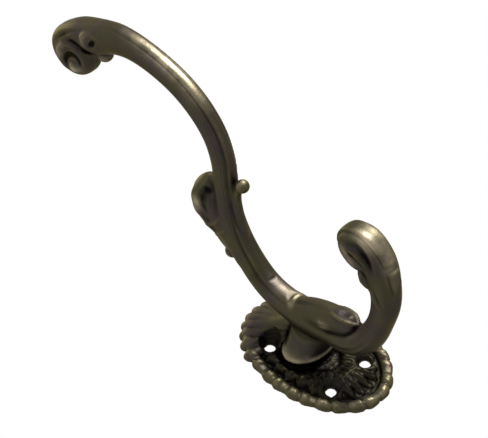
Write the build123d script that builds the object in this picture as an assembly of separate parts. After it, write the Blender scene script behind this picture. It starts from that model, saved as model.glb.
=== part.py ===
from build123d import *
from math import cos, pi, sin
import os

# Cast coat hook, one solid, in millimetres.
# The back of the plate lies on the wall, which is the plane Y = 0. +Z points up the wall, the hook
# reaches out along -Y, and X = 0 is its plane of symmetry. The origin is the plate's centre.
# Places in that plane are written as (height, reach): height along +Z, reach out of the wall.

# Back plate: an oval border of round lobes about a thin field, with a fluted crest at the upper end
plate_half_width = 22.2
plate_half_height = 31.4
field_thickness = 2.6
field_inset = 1.4
field_sides = 44
lobe_count = 22
lobe_radius = 3.4
lobe_tip_radius = 1.9
lobe_root_radius = 1.4
lobe_crown = 0.28
lobe_reach = 1.5
lobe_length = 7.4
lobe_sides = 8
crest_share = 0.16
crest_count = 7
crest_spread = 66.0
crest_root_radius = 3.0
crest_root_height = 13.0
crest_root_reach = 11.0
crest_root_spacing = 0.6
crest_crown = 0.85
crest_proud = 0.5

# Four countersunk screw holes, on the corners of a rectangle about the plate's centre
screw_spacing_x = 18.3
screw_spacing_z = 30.0
screw_hole_diameter = 4.0
countersink_diameter = 7.4
screw_land = 0.8

# Leaf ribs in low relief on the lower field
rib_count = 13
rib_spread = 210.0
rib_half_width = 1.5
rib_height = 1.3
rib_start = 0.46
rib_end = 0.82

# Tongue, the smooth oval collar that carries the bar
tongue_half_width = 10.8
tongue_half_height = 10.5
tongue_height = 6.0
tongue_lip_reach = 5.0
tongue_lip_thickness = 1.4
tongue_neck_inset = 1.8
tongue_top_half_width = 4.4
tongue_top_half_height = 9.5
tongue_top_reach = 17.0
tongue_sides = 20

# Scrolls at the ends of the arm and the hook: centre, radius, half width and radius of the eye
upper_scroll_centre = (121.8, 75.5)
upper_scroll_radius = 10.6
upper_scroll_half_width = 5.4
upper_eye_radius = 3.8
lower_scroll_centre = (-18.4, 71.3)
lower_scroll_radius = 8.3
lower_scroll_half_width = 5.2
lower_eye_radius = 2.6

# Upper arm: height, reach, half width, half depth of its section at each station, the last of them
# inside the scroll's rim
upper_arm = [
    (-13.0, 21.0, 4.2, 4.4),
    (-4.0, 20.0, 5.5, 5.6),
    (7.0, 19.0, 5.9, 5.6),
    (16.0, 18.8, 5.4, 4.8),
    (24.5, 21.0, 5.1, 4.7),
    (32.2, 26.5, 4.9, 4.9),
    (39.0, 34.8, 4.7, 4.7),
    (43.8, 45.4, 4.6, 4.6),
    (45.8, 57.0, 4.5, 4.5),
    (47.2, 68.0, 4.4, 4.4),
    (51.2, 77.8, 4.4, 4.4),
    (58.4, 85.5, 4.5, 4.5),
    (67.8, 90.8, 4.5, 4.6),
    (79.0, 93.7, 4.6, 4.7),
    (90.0, 94.4, 4.8, 5.1),
    (100.0, 92.7, 5.1, 5.8),
    (109.6, 88.0, 5.3, 6.2),
    (upper_scroll_centre[0] - 5.0, upper_scroll_centre[1] + 6.8, 5.0, 5.7),
]

# Lower hook, in the same form, from inside the bar to its scroll
lower_hook = [
    (-3.0, 19.8, 3.4, 3.6),
    (-12.0, 21.4, 4.8, 4.9),
    (-19.5, 25.0, 5.2, 5.2),
    (-24.9, 32.0, 5.1, 5.0),
    (-28.5, 42.0, 5.0, 4.7),
    (-30.1, 52.0, 5.1, 4.9),
    (-29.1, 61.0, 5.2, 5.7),
    (-25.8, 68.8, 5.2, 6.5),
    (lower_scroll_centre[0] - 2.4, lower_scroll_centre[1] + 2.4, 4.2, 4.2),
]

# Arm section: its crowned front strip, the hollow flutes beside it and its round belly, as shares of the
# half width and half depth
strip_share = 0.48
strip_crown = 0.10
flute_share = 0.72
flute_depth = 0.52
shoulder_depth = 0.18
belly_facets = 4

# Scrolls: discs with bevelled edges and, on each side, a raised eye and a groove in the form of
# a volute, drawn with quarter arcs, each smaller than the last by one ratio
scroll_sides = 30
volute_start = 90.0
volute_ratio = 0.80
volute_arcs = 3
groove_width = 1.5
groove_depth = 1.2
scroll_edge = 1.8
eye_rise = 1.4
eye_bevel = 0.06
eye_tip_share = 0.4

# Facets round a leaf, strand or ball, and rings along a ball
blade_sides = 8
ball_rings = 5

# Leaf on the upper arm, with its rolled tip and the curl at its stem
leaf_line = [
    (40.5, 25.5, 1.6, 1.8),
    (44.0, 30.2, 3.2, 3.4),
    (48.0, 35.8, 4.2, 4.6),
    (51.8, 40.8, 5.4, 5.6),
    (55.0, 46.0, 6.0, 6.2),
    (55.8, 50.4, 5.5, 5.6),
    (54.4, 54.0, 3.8, 4.2),
    (52.4, 56.0, 1.5, 2.2),
]
stem_curl = (42.8, 25.6)
stem_curl_radius = 2.8

# Strand under the upper arm, ending in a ball
strand_line = [
    (31.0, 34.0, 0.9, 0.9),
    (35.4, 39.0, 1.5, 1.5),
    (38.8, 46.0, 1.6, 1.6),
    (40.4, 53.5, 1.6, 1.6),
    (39.8, 60.0, 1.5, 1.5),
]
strand_ball = (37.8, 61.5)
strand_ball_radius = 2.6

# Knob on the inner side of the arm, under the upper scroll
knob = (103.8, 84.2)
knob_radius = 2.9

# Bud under the lower scroll
bud_line = [
    (-25.5, 54.5, 1.2, 1.2),
    (-23.0, 57.5, 2.6, 2.4),
    (-20.6, 61.0, 2.9, 2.6),
    (-19.0, 63.6, 1.4, 1.3),
]

# Root leaf, over the front of the bar, with a scooped tip
root_leaf = [
    (12.0, 19.4, 2.6, 2.6),
    (5.0, 22.0, 4.4, 4.0),
    (-3.0, 25.0, 4.6, 4.4),
    (-10.0, 27.2, 4.4, 4.5),
    (-15.0, 28.8, 3.7, 4.0),
    (-18.2, 29.8, 2.4, 2.6),
    (-19.6, 30.6, 1.0, 1.0),
]
scoop_line = [
    (-5.0, 31.0, 0.6, 0.6),
    (-8.5, 31.4, 2.0, 2.0),
    (-12.0, 32.6, 2.4, 2.4),
    (-15.5, 34.2, 1.8, 1.8),
    (-17.5, 35.4, 0.6, 0.6),
]


def place(height, reach, across=0.0):
    """A point of the hook, from its height, its reach out of the wall and its distance across."""
    return Vector(across, -reach, height)


def corners(plane, half_width, half_height, sides):
    """Points round an oval in the plane, halfway between its axes where those meet its sides."""
    turns = [(i + 0.5) * 2 * pi / sides for i in range(sides)]
    return [plane.from_local_coords((half_width * cos(t), half_height * sin(t))) for t in turns]


def oval(plane, half_width, half_height, sides):
    """A face with many short sides round an oval, one side square to each axis."""
    return make_face(Polyline(*corners(plane, half_width, half_height, sides), close=True))


def path_planes(stations):
    """A plane square to the curve through the stations at each, its y axis on the curve's outer side."""
    points = [place(s[0], s[1]) for s in stations]
    line = Spline(*points)
    return [Plane(origin=p, x_dir=(-1, 0, 0), z_dir=line.tangent_at(p)) for p in points]


def blade(stations):
    """A leaf, bud or strand in the plane of symmetry: ovals along its stations."""
    return loft(
        [oval(p, s[2], s[3], blade_sides) for p, s in zip(path_planes(stations), stations)], ruled=True
    )


def bead(start, end, stations, sides=blade_sides):
    """A round form on a straight axis: its stations are shares of the way and radii."""
    axis = end - start
    rings = []
    for share, radius in stations:
        rings.append(corners(Plane(origin=start + axis * share, z_dir=axis), radius, radius, sides))
    outlines = [rings[0], rings[-1]]
    for low, high in zip(rings, rings[1:]):
        outlines += [(low[i - 1], low[i], high[i], high[i - 1]) for i in range(sides)]
    return Solid(Shell([make_face(Polyline(*outline, close=True)) for outline in outlines]))


def ball(spot, radius):
    """A ball, as a bead whose radii follow the half circle from pole to pole."""
    reach = Vector(0, 0, radius)
    turns = [(i + 0.5) * pi / ball_rings for i in range(ball_rings)]
    forms = [((1 - cos(t)) / 2, radius * sin(t)) for t in turns]
    return bead(place(*spot) - reach, place(*spot) + reach, forms)


def arm_section(plane, half_width, half_depth):
    """The arm's section, from its crowned strip down one flank, round the belly and up the other."""
    strip = half_width * strip_share
    flank = [
        (strip / 2, half_depth * (1 + strip_crown)),
        (strip, half_depth),
        (half_width * flute_share, half_depth * flute_depth),
        (half_width, half_depth * shoulder_depth),
    ]
    turns = [i / belly_facets * pi for i in range(1, belly_facets)]
    drop = half_depth * (1 + shoulder_depth)
    belly = [(half_width * cos(t), half_depth * shoulder_depth - drop * sin(t)) for t in turns]
    other = [(-x, y) for x, y in reversed(flank)]
    return plane * make_face(Polyline(*flank, *belly, *other, close=True))


def arm(stations):
    """A limb of the hook: the arm section carried smoothly along its stations."""
    return loft([arm_section(p, s[2], s[3]) for p, s in zip(path_planes(stations), stations)])


def volute(radius):
    """A spiral from the given radius to the eye, as quarter arcs about centres that step inwards."""
    arcs = []
    centre = Vector(0, 0)
    start = Vector(radius, 0)
    for i in range(volute_arcs):
        arm_in = start - centre
        end = centre + Vector(-arm_in.Y, arm_in.X)
        middle = centre + (arm_in + Vector(-arm_in.Y, arm_in.X)).normalized() * arm_in.length
        arcs.append(ThreePointArc(start, middle, end))
        centre = end - (end - centre) * volute_ratio
        start = end
    return arcs


def scroll(centre, radius, half_width, eye_radius):
    """A rolled end: a disc across X with bevelled edges, a volute sunk in each side and an eye."""
    side = Plane(origin=place(*centre), x_dir=(0, -1, 0), z_dir=(1, 0, 0))
    bevel = radius - scroll_edge
    share = scroll_edge / half_width / 2
    levels = [(0.0, bevel), (share, radius), (1.0 - share, radius), (1.0, bevel)]
    disc = bead(Vector(0, 0, -half_width), Vector(0, 0, half_width), levels, scroll_sides)
    outer = volute(bevel)
    inner = volute(bevel - groove_width)
    ends = [Line(outer[-1] @ 1, inner[-1] @ 1), Line(inner[0] @ 0, outer[0] @ 0)]
    band = Rot(0, 0, volute_start) * extrude(make_face(Wire(outer + inner + ends)), groove_depth)
    grooves = [Pos(0, 0, half_width - groove_depth) * band, Pos(0, 0, -half_width) * band]
    reach = half_width + eye_rise
    tip = eye_radius * eye_tip_share
    forms = [(0.0, tip), (eye_bevel, eye_radius), (1.0 - eye_bevel, eye_radius), (1.0, tip)]
    eyes = bead(Vector(0, 0, -reach), Vector(0, 0, reach), forms)
    return side * (disc - grooves + eyes)


def lobed_plate():
    """The oval plate: a thin field, a border of round lobes that sink into it, and the fluted crest."""
    wall = Plane(origin=(0, 0, 0), x_dir=(0, 0, 1), z_dir=(0, -1, 0))
    ring = wall * Edge.make_ellipse(plate_half_height, plate_half_width)
    rim = oval(wall, plate_half_height - field_inset, plate_half_width - field_inset, field_sides)
    field = extrude(rim, field_thickness)
    forms = [(0.0, lobe_tip_radius), (lobe_crown, lobe_radius), (1.0, lobe_root_radius)]
    lift = Vector(0, -lobe_reach, 0)
    lobes = []
    for k in range(lobe_count):
        share = crest_share / 2 + (1 - crest_share) * (k + 0.5) / lobe_count
        edge = ring.position_at(share)
        inward = ring.tangent_at(share).cross(Vector(0, -1, 0))
        if inward.dot(edge) > 0:
            inward = -inward
        lobes.append(bead(edge + lift, edge + inward * lobe_length, forms, lobe_sides))
    behind = Pos(0, lobe_radius, 0) * Box(4 * plate_half_width, 2 * lobe_radius, 4 * plate_half_height)
    return field + lobes + crest_flutes() + field_ribs() - behind


def crest_flutes():
    """Round flutes that fan out from the bar's root to the plate's upper end."""
    flutes = []
    root = place(crest_root_height, crest_root_reach)
    forms = [(0.0, crest_root_radius), (crest_crown, lobe_radius), (1.0, lobe_tip_radius)]
    for k in range(crest_count):
        step = k - (crest_count - 1) / 2
        angle = step / (crest_count - 1) * crest_spread * pi / 180
        height = (plate_half_height + crest_proud) * cos(angle)
        tip = place(height, lobe_reach, plate_half_width * sin(angle))
        flutes.append(bead(root + Vector(step * crest_root_spacing, 0, 0), tip, forms, lobe_sides))
    return flutes


def field_ribs():
    """Leaf ribs, ridged bars that spread from under the tongue over the lower field."""
    ribs = []
    ridge = Polyline(
        (-rib_half_width, field_thickness / 2),
        (0, field_thickness + rib_height),
        (rib_half_width, field_thickness / 2),
        close=True,
    )
    for k in range(rib_count):
        angle = pi + (k / (rib_count - 1) - 0.5) * rib_spread * pi / 180
        edge = Vector(plate_half_width * sin(angle), 0, plate_half_height * cos(angle))
        way = edge * (rib_end - rib_start)
        plane = Plane(origin=edge * rib_start, x_dir=Vector(0, -1, 0).cross(way), z_dir=way)
        ribs.append(extrude(plane * make_face(ridge), way.length))
    return ribs


def tongue():
    """The oval collar: a neck on the field, an overhanging lip and a slope up to the bar."""
    def level(reach, half_width, half_height):
        plane = Plane(origin=place(tongue_height, reach), x_dir=(1, 0, 0), z_dir=(0, -1, 0))
        return oval(plane, half_width, half_height, tongue_sides)

    neck_width = tongue_half_width - tongue_neck_inset
    neck_height = tongue_half_height - tongue_neck_inset
    top_width = tongue_half_width - tongue_lip_thickness / 2
    top_height = tongue_half_height - tongue_lip_thickness / 2
    levels = [
        (field_thickness / 2, neck_width, neck_height),
        (tongue_lip_reach - tongue_lip_thickness / 2, neck_width, neck_height),
        (tongue_lip_reach, tongue_half_width, tongue_half_height),
        (tongue_lip_reach + tongue_lip_thickness, top_width, top_height),
        (tongue_top_reach, tongue_top_half_width, tongue_top_half_height),
    ]
    return loft([level(*form) for form in levels], ruled=True)


def screw_holes():
    """Countersunk holes from the front of the field to the wall."""
    cuts = []
    shank_radius = screw_hole_diameter / 2
    slope = (countersink_diameter / 2 - shank_radius) / (field_thickness - screw_land)
    rise = 2 * lobe_radius
    base = (Align.CENTER, Align.CENTER, Align.MIN)
    for x in (-screw_spacing_x / 2, screw_spacing_x / 2):
        for z in (-screw_spacing_z / 2, screw_spacing_z / 2):
            plane = Plane(origin=(x, 0, z), z_dir=(0, -1, 0))
            sink = Cone(shank_radius, shank_radius + slope * rise, rise, align=base)
            cuts.append(plane * Cylinder(shank_radius, 2 * rise))
            cuts.append(plane * Pos(0, 0, screw_land) * sink)
    return cuts


def coat_hook():
    """The whole casting."""
    forms = [
        tongue(),
        arm(upper_arm),
        arm(lower_hook),
        blade(root_leaf) - blade(scoop_line),
        scroll(upper_scroll_centre, upper_scroll_radius, upper_scroll_half_width, upper_eye_radius),
        scroll(lower_scroll_centre, lower_scroll_radius, lower_scroll_half_width, lower_eye_radius),
        blade(leaf_line),
        ball(stem_curl, stem_curl_radius),
        blade(strand_line),
        ball(strand_ball, strand_ball_radius),
        ball(knob, knob_radius),
        blade(bud_line),
    ]
    return lobed_plate() - screw_holes() + forms


os.makedirs("parts", exist_ok=True)
hook = coat_hook()
export_step(hook, "parts/coat_hook.step")
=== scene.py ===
import math

import bpy
import numpy as np
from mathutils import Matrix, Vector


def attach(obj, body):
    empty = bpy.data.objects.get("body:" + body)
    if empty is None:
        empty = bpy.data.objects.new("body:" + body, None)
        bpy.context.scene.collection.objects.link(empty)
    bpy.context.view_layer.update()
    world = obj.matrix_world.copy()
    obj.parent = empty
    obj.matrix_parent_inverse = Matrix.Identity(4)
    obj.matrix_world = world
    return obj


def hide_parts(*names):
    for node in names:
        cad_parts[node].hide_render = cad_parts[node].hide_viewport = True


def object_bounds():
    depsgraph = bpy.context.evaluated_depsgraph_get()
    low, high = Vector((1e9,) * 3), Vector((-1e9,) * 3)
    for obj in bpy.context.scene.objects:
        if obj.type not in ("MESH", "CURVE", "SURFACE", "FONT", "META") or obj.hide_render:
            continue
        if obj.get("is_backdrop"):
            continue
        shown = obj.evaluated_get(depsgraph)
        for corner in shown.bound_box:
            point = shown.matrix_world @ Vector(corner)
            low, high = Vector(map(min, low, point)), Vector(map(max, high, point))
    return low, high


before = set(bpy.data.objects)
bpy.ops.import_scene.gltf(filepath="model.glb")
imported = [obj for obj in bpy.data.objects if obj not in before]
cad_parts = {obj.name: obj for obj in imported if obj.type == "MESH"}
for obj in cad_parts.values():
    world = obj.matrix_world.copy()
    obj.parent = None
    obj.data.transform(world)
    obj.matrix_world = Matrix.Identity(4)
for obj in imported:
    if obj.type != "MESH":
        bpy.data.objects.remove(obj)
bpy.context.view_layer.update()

import openvdb
from bpy.props import FloatProperty, FloatVectorProperty, IntProperty, PointerProperty
from mathutils import Matrix, Vector

bl_info = {
    "name": "Cast coat hook",
    "version": (1, 0, 0),
    "blender": (4, 5, 0),
    "location": "View3D > Sidebar > Coat hook",
    "description": "Builds a cast and patinated coat hook about its packed solid",
    "category": "Add Mesh",
}

# Places are written in millimetres in the hook's own plane of symmetry: height up the wall and
# reach out of the wall. Across is the distance from that plane. Blender's objects are in metres.
MM = 0.001
NODE = "coat_hook"
# Finish masks: edge wear; painted shade in recesses, under the tongue and the bar and on the arm's
# shaded side, over the dark patina there; and rubbed brass with painted highlights
MASKS = ("worn", "shade_and_patina", "rubbed_and_highlit")

# Fillets where each form joins the rest or is cut into it
PLATE_BLEND = 0.3
CREST_BLEND = 0.6
PIT_BLEND = 1.6
TONGUE_BLEND = 0.5
LIMB_BLEND = 0.8
LEAF_BLEND = 2.2
SCROLL_BLEND = 1.0
BALL_BLEND = 0.6
EYE_BLEND = 0.4
FACET_BLEND = 0.15
WORKED_BLEND = 0.5
FINE_BLEND = 0.4

# Back plate, and the block of the casting that it lies in
PLATE_HALF_WIDTH = 22.2
PLATE_HALF_HEIGHT = 31.4
PLATE_BLOCK = ((0.0, -2.0, -38.0), (24.0, 9.0, 38.0))
OUTLINE_SAMPLES = 2000
FIELD_THICKNESS = 1.8
LEAST_THICKNESS = 1.1
# The plate's side bulges about its middle. Its front has steep relief, so its distance is eased.
SIDE_ROUNDING = 0.15
SIDE_MIDDLE = 1.5
FRONT_EASING = 0.75

# Lobed rim: how far the lobes reach out, how deep the notches between them go and how blunt the
# lobes are, then the fine lines across each
LOBE_SCALLOP = 0.9
LOBE_NOTCH = 0.62
LOBE_BLUNTNESS = 0.7
LOBE_UNEVENNESS = 0.25
LOBE_WANDER = 1.7
RIM_VEIN = 0.14
RIM_VEINS_PER_LOBE = 3
RIM_WIDTH = 4.6
RIM_BASE = 1.6
RIM_RISE = 2.4

# Crest: its share of the rim, and its flutes, which run from under the arm out to the rim
CREST_SHARE = 0.16
CREST_COUNT = 7
CREST_SPREAD = 66.0
CREST_ROOT_HEIGHT = 13.0
CREST_ROOT_SPACING = 0.6
# How high each flute of the crest stands, from the middle one out to each side
CREST_REACH = [1.0, 1.0, 0.97, 0.8, 0.6, 0.4]
# Each flute of the crest: share of the way to the rim, reach and radius
CREST_FLUTE = [
    (0.0, 11.0, 2.2),
    (0.35, 7.0, 2.2),
    (0.65, 4.2, 2.3),
    (0.86, 2.4, 2.4),
    (0.93, 1.4, 2.3),
]

# Screw holes: their spacing, the straight land at the wall and the dished pit over it
SCREW_SPACING_X = 18.3
SCREW_SPACING_Z = 30.0
SCREW_LAND = 0.8
# How far a point of a hole's wall may lie off the true round, and still be drawn onto it
HOLE_TRUING = 0.32
PIT_RADIUS = 4.0
PIT_DEPTH = 4.6
# How far about its middle, and out of the wall, a pit is cleared
PIT_SPACE = 9.0
PIT_TOP = 8.0

# Foliage on the plate: leaves radiate from the middle, as shares of the plate's half size
FOLIAGE_COUNT = 13
FOLIAGE_START = 0.30
FOLIAGE_END = 0.80
# Half width of a leaf at its ends and how much it swells between them, then the powers that say
# where it is fullest, how it tapers, how it arches across and how it lifts off the field
LEAF_ENDS_HALF = 0.3
LEAF_SWELL = 2.4
LEAF_FULLEST = 0.8
LEAF_TAPER = 0.7
LEAF_ARCH = 0.5
LEAF_LIFT = 0.4
MIDRIB_RISE = 0.4
MIDRIB_WIDTH = 0.5
VEIN_SPACING = 1.5
VEIN_DEPTH = 0.22
VEIN_SLANT = 0.25
TONGUE_CLEARANCE = 2.4
# The channel that runs between the foliage and the rim
CHANNEL_INSET = 5.4
CHANNEL_DEPTH = 1.2
CHANNEL_WIDTH = 0.9
# Grain of the casting on the plate: height, half size in cells, and seed. The rim has less.
CAST_GRAIN = [(0.05, 1, 3), (0.3, 3, 4)]
RIM_GRAIN_SHARE = 0.4

# Tongue, the oval collar under the bar: reach, half width and half height at each level
TONGUE_HEIGHT = 3.8
TONGUE_BLOCK = ((0.0, -2.0, -8.0), (14.0, 20.0, 20.0))
TONGUE_LEVELS = [
    (0.0, 7.0, 4.8),
    (3.2, 7.0, 4.8),
    (4.2, 10.4, 6.9),
    (4.7, 11.8, 8.0),
    (5.4, 12.2, 8.3),
    (6.0, 11.8, 8.1),
    (6.4, 10.9, 7.5),
    (7.0, 10.2, 7.4),
    (8.4, 8.6, 7.6),
    (10.4, 6.7, 7.8),
    (13.0, 5.2, 7.8),
    (17.0, 4.4, 7.6),
]

# How much room a limb gets about its stations, and out from the plane of symmetry
LIMB_MARGIN = 8.0
LIMB_SPACE = 9.0

# Limbs: height, reach, half width, half depth at each station
UPPER_ARM = [
    (-13.0, 21.0, 4.2, 4.4),
    (-4.0, 20.0, 5.5, 5.6),
    (7.0, 19.0, 5.9, 5.6),
    (16.0, 18.8, 5.4, 4.8),
    (24.5, 21.0, 5.1, 4.7),
    (32.2, 26.5, 4.9, 4.9),
    (39.0, 34.8, 4.7, 4.7),
    (43.8, 45.4, 4.6, 4.6),
    (45.8, 57.0, 4.5, 4.5),
    (47.2, 68.0, 4.4, 4.4),
    (51.2, 77.8, 4.4, 4.4),
    (58.4, 85.5, 4.5, 4.5),
    (67.8, 90.8, 4.5, 4.6),
    (79.0, 93.7, 4.6, 4.7),
    (90.0, 94.4, 4.8, 5.1),
    (100.0, 92.7, 5.2, 6.0),
    (109.6, 88.2, 5.5, 6.5),
    (118.0, 85.4, 5.4, 5.1),
    (124.2, 81.2, 5.4, 4.6),
    (127.2, 77.2, 5.3, 4.4),
    (127.2, 73.0, 5.0, 4.2),
    (124.8, 70.0, 4.6, 4.0),
]
LOWER_HOOK = [
    (-3.0, 19.8, 4.4, 4.0),
    (-12.0, 21.4, 5.9, 5.4),
    (-19.5, 25.0, 6.1, 5.4),
    (-24.9, 32.0, 5.6, 5.1),
    (-28.5, 42.0, 5.1, 4.7),
    (-30.1, 52.0, 5.1, 5.3),
    (-29.1, 61.0, 5.2, 6.0),
    (-26.2, 69.0, 5.4, 6.2),
    (-21.8, 74.6, 5.4, 5.0),
    (-16.8, 75.6, 5.3, 4.0),
    (-13.8, 73.0, 5.2, 4.2),
    (-13.8, 69.4, 4.8, 3.6),
    (-16.2, 67.6, 4.2, 3.0),
]
# The side leaf, and the web that melts it into the arm
LEAF = [
    (40.5, 25.5, 1.6, 1.8),
    (44.0, 30.2, 3.2, 3.4),
    (48.0, 35.8, 4.2, 4.6),
    (51.2, 40.6, 5.4, 5.4),
    (54.2, 45.6, 6.2, 6.0),
    (54.6, 49.8, 5.8, 5.4),
    (53.6, 53.2, 4.2, 3.9),
    (51.8, 55.0, 1.5, 2.2),
]
LEAF_WEB = [
    (36.5, 27.5, 3.4, 2.8),
    (41.0, 33.0, 4.5, 3.6),
    (45.2, 38.5, 4.8, 3.6),
    (48.2, 43.5, 5.2, 3.2),
    (49.8, 48.0, 4.8, 2.6),
    (50.2, 52.0, 3.4, 1.6),
]
# The strand beside the arm, the bud inside the lower curl, and the leaf at the arm's root
STRAND = [
    (34.2, 33.4, 0.6, 0.6),
    (36.0, 38.6, 1.3, 1.3),
    (38.8, 46.0, 1.6, 1.6),
    (40.4, 53.5, 1.6, 1.6),
    (39.8, 60.0, 1.5, 1.5),
]
BUD = [
    (-26.0, 55.0, 1.6, 1.4),
    (-23.4, 57.8, 3.2, 2.6),
    (-20.9, 61.2, 3.7, 2.8),
    (-19.2, 64.2, 2.2, 1.5),
]
ROOT_LEAF = [
    (12.0, 19.4, 2.6, 2.6),
    (5.0, 22.2, 4.6, 4.8),
    (-3.0, 25.2, 5.0, 5.6),
    (-10.0, 27.6, 4.7, 5.3),
    (-15.0, 29.2, 3.9, 4.8),
    (-18.2, 29.8, 2.4, 2.6),
    (-19.6, 30.6, 1.0, 1.0),
]

# Scrolls: centre, radius, half width, rounding of the edge
SCROLL_MARGIN = 4.0
UPPER_SCROLL = ((121.8, 75.5), 10.3, 5.1, 4.2)
LOWER_SCROLL = ((-18.8, 70.9), 7.9, 5.1, 3.4)

# Balls: height, reach, across, radius
STEM_CURL = (42.8, 25.6, 0.0, 2.8)
STRAND_BALL = (37.8, 61.5, 0.0, 2.6)
KNOB = (106.6, 81.8, 0.0, 3.2)
SCROLL_EYE = (118.6, 71.4, 3.8, 2.6)

# The strip's edge fades over some degrees, and the groove beside it lies off it by some degrees.
STRIP_SOFTNESS = 4.0
GROOVE_OFFSET = 7.0
GROOVE_WIDTH = 7.5
# Each flute has a lip beside it: its place in widths of the flute, and its share of the depth.
FLUTE_LIP_OFFSET = 1.6
FLUTE_LIP_RISE = 0.4

# Relief along the upper arm: way along in millimetres, with the edge's angle off the outer side in
# degrees, the strip's rise and the groove's depth
STRIP_EDGE = [(0, 40), (60, 38), (80, 32), (105, 22), (160, 22), (172, 30)]
STRIP_RISE = [(12, 0.0), (26, 0.35), (90, 0.3), (105, 0.4), (150, 0.3), (165, 0.0)]
STRIP_GROOVE = [(20, 0.0), (36, 0.3), (44, 0.5), (58, 0.4), (80, 0.2), (105, 0.6), (140, 0.5),
                (158, 0.0)]
# Flutes: angle, width in degrees, depth, and where each fades in and out
ARM_FLUTES = [
    (47, 4.5, 0.26, (70, 92, 138, 156)),
    (61, 4.5, 0.32, (60, 88, 136, 152)),
    (76, 5.0, 0.30, (64, 80, 134, 150)),
    (92, 5.5, 0.26, (58, 76, 128, 146)),
    (112, 7.0, 0.16, (70, 84, 120, 136)),
    (72, 8.0, 0.14, (24, 36, 52, 66)),
    (96, 8.0, 0.12, (22, 34, 50, 64)),
]
HOOK_STRIP_EDGE = [(0, 20), (54, 20), (62, 26), (72, 32), (90, 34)]
HOOK_STRIP_RISE = [(53, 0.0), (57, 0.5), (62.5, 0.5), (63.3, -0.25), (64.5, -0.25), (65.8, 0.6),
                   (88, 0.5)]
HOOK_STRIP_GROOVE = [(53, 0.0), (58, 0.25), (66, 0.3), (90, 0.1)]
# How square the limbs' sections are: way along, and 2 for an oval, more where the ends roll up
OVAL_SECTION = [(0, 2.0)]
ARM_SQUARENESS = [(160, 2.0), (176, 2.8)]
HOOK_SQUARENESS = [(56, 2.0), (66, 2.5)]
HOOK_FLUTES = [
    (58, 8.0, 0.25, (4, 10, 20, 34)),
    (84, 8.0, 0.25, (6, 12, 22, 36)),
]

# Flat on the strip: height and reach at its foot and top
FACET = ((11.8, 23.2), (23.0, 25.3))
FACET_HALF_WIDTH = 2.8

# Worked lines: height, reach, across and radius at each point
RIDGES = [
    # bar at the top of the root leaf
    [(11.4, 24.1, 0, 0.8), (11.2, 23.9, 1.6, 0.8), (10.8, 23, 3, 0.7), (10.4, 21.4, 4.2, 0.4)],
    # rolled rim of the side leaf
    [(47.6, 33.8, 3.4, 0.5), (50.4, 37.4, 4.6, 1), (52.6, 40.2, 5.4, 0.8),
     (54.6, 42.8, 5.6, 1.3), (56.4, 45.6, 5.4, 1.1), (57.4, 48.4, 4.4, 1.3),
     (56.6, 51.8, 2.8, 1), (53.8, 54.6, 0.8, 0.7)],
    # rim of the root leaf's scoop
    [(-7.4, 31.8, 2.2, 0.4), (-10, 32.2, 2.8, 0.6), (-12.8, 32.4, 2.9, 0.7),
     (-15.2, 32.6, 2.5, 0.7), (-17.2, 32.2, 1.5, 0.7), (-18.2, 31.8, 0, 0.7)],
]
GROOVES = [
    # the line beside the strand
    [(36, 40, 2.1, 0.2), (38.6, 43.4, 2.4, 0.4), (40.6, 50, 2.5, 0.5), (41.2, 55, 2.5, 0.4),
     (41.2, 58, 2.3, 0.2)],
    # under the root leaf, and the scoop in its tip
    [(-3, 24.4, 5.2, 0.3), (-5.1, 25.2, 5.4, 0.6), (-8.7, 26.6, 5.4, 0.7),
     (-12.6, 28.6, 5.2, 0.5), (-14.4, 30, 4.8, 0.2)],
    [(-7.6, 34, 0.4, 0.4), (-10.6, 34.2, 0.6, 1.3), (-13.2, 34.7, 0.6, 1.5),
     (-15.4, 35.2, 0.4, 0.6)],
]
# The same on the sides, with how high a ridge stands or how deep a groove bites in place of across
SIDE_RIDGES = [
    # upper scroll: crescent above the pit, and the roll about the eye
    [(109.8, 85, 0.2, 1), (112, 86.6, 0.7, 1.4), (112.6, 89, 0.9, 1.5), (110.6, 91.2, 0.8, 1.3),
     (107.2, 92.2, 0.4, 1.1), (103.4, 92.4, 0.1, 0.9)],
    [(125.4, 70.6, 0.2, 1.2), (126.6, 72.8, 0.5, 1.4), (125.6, 76.4, 0.7, 1.5),
     (123.4, 79.4, 0.7, 1.5), (120.4, 80.8, 0.6, 1.4), (117.6, 80.8, 0.3, 1.2)],
    # creases across the foot of the side leaf
    [(47, 33.4, 0.3, 0.8), (45.2, 35.2, 0.8, 1), (43.4, 37.4, 0.7, 1), (42, 40, 0.2, 0.8)],
    [(50.4, 37.6, 0.3, 0.8), (48.4, 39.2, 0.8, 1), (46.4, 41.2, 0.7, 1), (45, 43.4, 0.2, 0.8)],
    # beside the crease under the bud
    [(-26.8, 58.8, 0.1, 0.9), (-28, 56.8, 0.35, 1.1), (-29.8, 54.8, 0.3, 1),
     (-31.4, 53.2, 0.1, 0.8)],
]
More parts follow.
